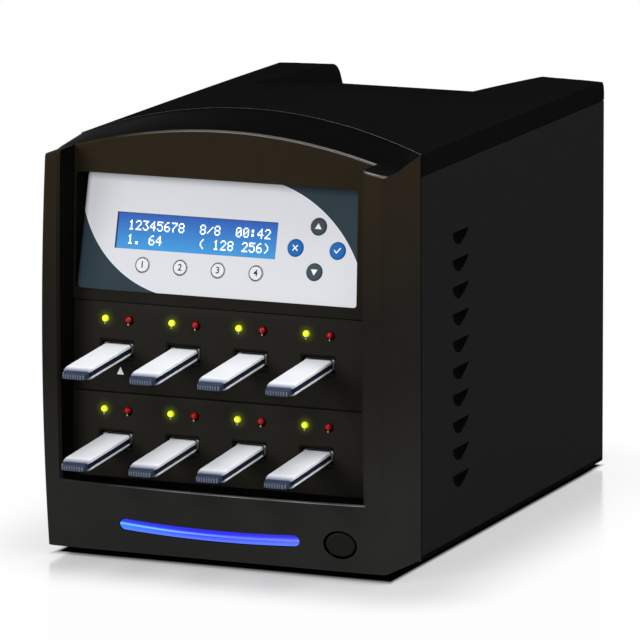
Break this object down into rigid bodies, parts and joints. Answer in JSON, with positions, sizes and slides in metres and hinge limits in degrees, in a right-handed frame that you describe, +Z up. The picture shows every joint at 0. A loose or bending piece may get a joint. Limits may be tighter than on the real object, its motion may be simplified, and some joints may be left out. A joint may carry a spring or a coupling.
{
  "type": "usb flash drive duplicator",
  "caption": "Tabletop tower that copies USB flash drives, with a bowed bezel, tilted keypad and display, port rows with lamps, louvred sides and a crowned lid.",
  "frame": {"origin": "centre of the bounding box in plan, at the underside of the feet", "axes": "+Z up, -Y out of the front with the display and the ports, +X to the right seen from the front"},
  "size_m": [0.1832, 0.3487, 0.2239],
  "materials": {
    "bezel": "fine matte texture",
    "fascia": "fine matte texture",
    "overlay": "printed satin film",
    "screen": "lit display",
    "lens": "clear",
    "board": "solder mask",
    "dark_key": "satin",
    "blue_key": "satin",
    "white_key": "satin",
    "shell": "plated",
    "drive": "satin",
    "green_lamp": "lit",
    "red_lamp": "unlit",
    "light_bar": "lit",
    "button": "satin",
    "cover": "fine matte texture",
    "panel": "textured paint",
    "steel": "galvanised",
    "supply": "galvanised sheet look",
    "black_plastic": "satin",
    "rubber": "matte",
    "ribbon": "matte"
  },
  "bodies": {
    "case": {"front_bezel": "bezel", "control_panel": "black_plastic", "panel_overlay": "overlay", "display_lens": "lens", "display_module": "screen", "control_board": "board", "usb_panel_upper": "fascia", "usb_panel_lower": "fascia", "green_lamps_upper": "green_lamp", "green_lamps_lower": "green_lamp", "red_lamps_upper": "red_lamp", "red_lamps_lower": "red_lamp", "port_board_upper": "board", "port_board_lower": "board", "port_ribbon": "ribbon", "light_bar": "light_bar", "light_bar_board": "board", "power_switch": "board", "top_cover": "cover", "right_side_panel": "panel", "left_side_panel": "panel", "chassis_base": "steel", "rear_panel": "panel", "controller_board": "board", "power_supply": "supply", "power_inlet": "black_plastic", "switch_housing": "black_plastic", "fan_frame": "black_plastic", "fan_guard": "steel", "usb_socket_1": "shell", "usb_socket_2": "shell", "usb_socket_3": "shell", "usb_socket_4": "shell", "usb_socket_5": "shell", "usb_socket_6": "shell", "usb_socket_7": "shell", "usb_socket_8": "shell", "foot_1": "rubber", "foot_2": "rubber", "foot_3": "rubber", "foot_4": "rubber"},
    "key_up": {"key_up": "dark_key"},
    "key_down": {"key_down": "dark_key"},
    "key_left": {"key_left": "blue_key"},
    "key_right": {"key_right": "blue_key"},
    "function_key_1": {"function_key_1": "white_key"},
    "function_key_2": {"function_key_2": "white_key"},
    "function_key_3": {"function_key_3": "white_key"},
    "function_key_4": {"function_key_4": "white_key"},
    "flash_drive_1": {"flash_drive_1": "drive"},
    "flash_drive_2": {"flash_drive_2": "drive"},
    "flash_drive_3": {"flash_drive_3": "drive"},
    "flash_drive_4": {"flash_drive_4": "drive"},
    "flash_drive_5": {"flash_drive_5": "drive"},
    "flash_drive_6": {"flash_drive_6": "drive"},
    "flash_drive_7": {"flash_drive_7": "drive"},
    "flash_drive_8": {"flash_drive_8": "drive"},
    "power_button": {"power_button": "button"},
    "mains_rocker": {"mains_rocker": "black_plastic"},
    "fan_rotor": {"fan_rotor": "black_plastic"}
  },
  "joints": [
    {"name": "key_up_press", "type": "slide", "parent": "case", "child": "key_up", "axis": [0, 0.9652, -0.2615], "range_m": [0, 0.0005], "stiffness_N_per_m": 900, "springref_m": -0.001},
    {"name": "key_down_press", "type": "slide", "parent": "case", "child": "key_down", "axis": [0, 0.9652, -0.2615], "range_m": [0, 0.0005], "stiffness_N_per_m": 900, "springref_m": -0.001},
    {"name": "key_left_press", "type": "slide", "parent": "case", "child": "key_left", "axis": [0, 0.9652, -0.2615], "range_m": [0, 0.0005], "stiffness_N_per_m": 900, "springref_m": -0.001},
    {"name": "key_right_press", "type": "slide", "parent": "case", "child": "key_right", "axis": [0, 0.9652, -0.2615], "range_m": [0, 0.0005], "stiffness_N_per_m": 900, "springref_m": -0.001},
    {"name": "function_key_1_press", "type": "slide", "parent": "case", "child": "function_key_1", "axis": [0, 0.9652, -0.2615], "range_m": [0, 0.0005], "stiffness_N_per_m": 900, "springref_m": -0.001},
    {"name": "function_key_2_press", "type": "slide", "parent": "case", "child": "function_key_2", "axis": [0, 0.9652, -0.2615], "range_m": [0, 0.0005], "stiffness_N_per_m": 900, "springref_m": -0.001},
    {"name": "function_key_3_press", "type": "slide", "parent": "case", "child": "function_key_3", "axis": [0, 0.9652, -0.2615], "range_m": [0, 0.0005], "stiffness_N_per_m": 900, "springref_m": -0.001},
    {"name": "function_key_4_press", "type": "slide", "parent": "case", "child": "function_key_4", "axis": [0, 0.9652, -0.2615], "range_m": [0, 0.0005], "stiffness_N_per_m": 900, "springref_m": -0.001},
    {"name": "power_button_press", "type": "slide", "parent": "case", "child": "power_button", "axis": [0, 1, 0], "range_m": [0, 0.002], "stiffness_N_per_m": 600, "springref_m": -0.002},
    {"name": "flash_drive_1_pull", "type": "slide", "parent": "case", "child": "flash_drive_1", "axis": [0, -0.9976, -0.0698], "range_m": [0, 0.013]},
    {"name": "flash_drive_2_pull", "type": "slide", "parent": "case", "child": "flash_drive_2", "axis": [0, -0.9976, -0.0698], "range_m": [0, 0.013]},
    {"name": "flash_drive_3_pull", "type": "slide", "parent": "case", "child": "flash_drive_3", "axis": [0, -0.9976, -0.0698], "range_m": [0, 0.013]},
    {"name": "flash_drive_4_pull", "type": "slide", "parent": "case", "child": "flash_drive_4", "axis": [0, -0.9976, -0.0698], "range_m": [0, 0.013]},
    {"name": "flash_drive_5_pull", "type": "slide", "parent": "case", "child": "flash_drive_5", "axis": [0, -0.9976, -0.0698], "range_m": [0, 0.013]},
    {"name": "flash_drive_6_pull", "type": "slide", "parent": "case", "child": "flash_drive_6", "axis": [0, -0.9976, -0.0698], "range_m": [0, 0.013]},
    {"name": "flash_drive_7_pull", "type": "slide", "parent": "case", "child": "flash_drive_7", "axis": [0, -0.9976, -0.0698], "range_m": [0, 0.013]},
    {"name": "flash_drive_8_pull", "type": "slide", "parent": "case", "child": "flash_drive_8", "axis": [0, -0.9976, -0.0698], "range_m": [0, 0.013]},
    {"name": "mains_rocker_tilt", "type": "hinge", "parent": "case", "child": "mains_rocker", "pos_m": [-0.012, 0.17052, 0.0365], "axis": [1, 0, 0], "range_deg": [-18, 0]},
    {"name": "fan_spin", "type": "hinge", "parent": "case", "child": "fan_rotor", "pos_m": [0, 0.15512, 0.1365], "axis": [0, 1, 0], "continuous": true}
  ]
}
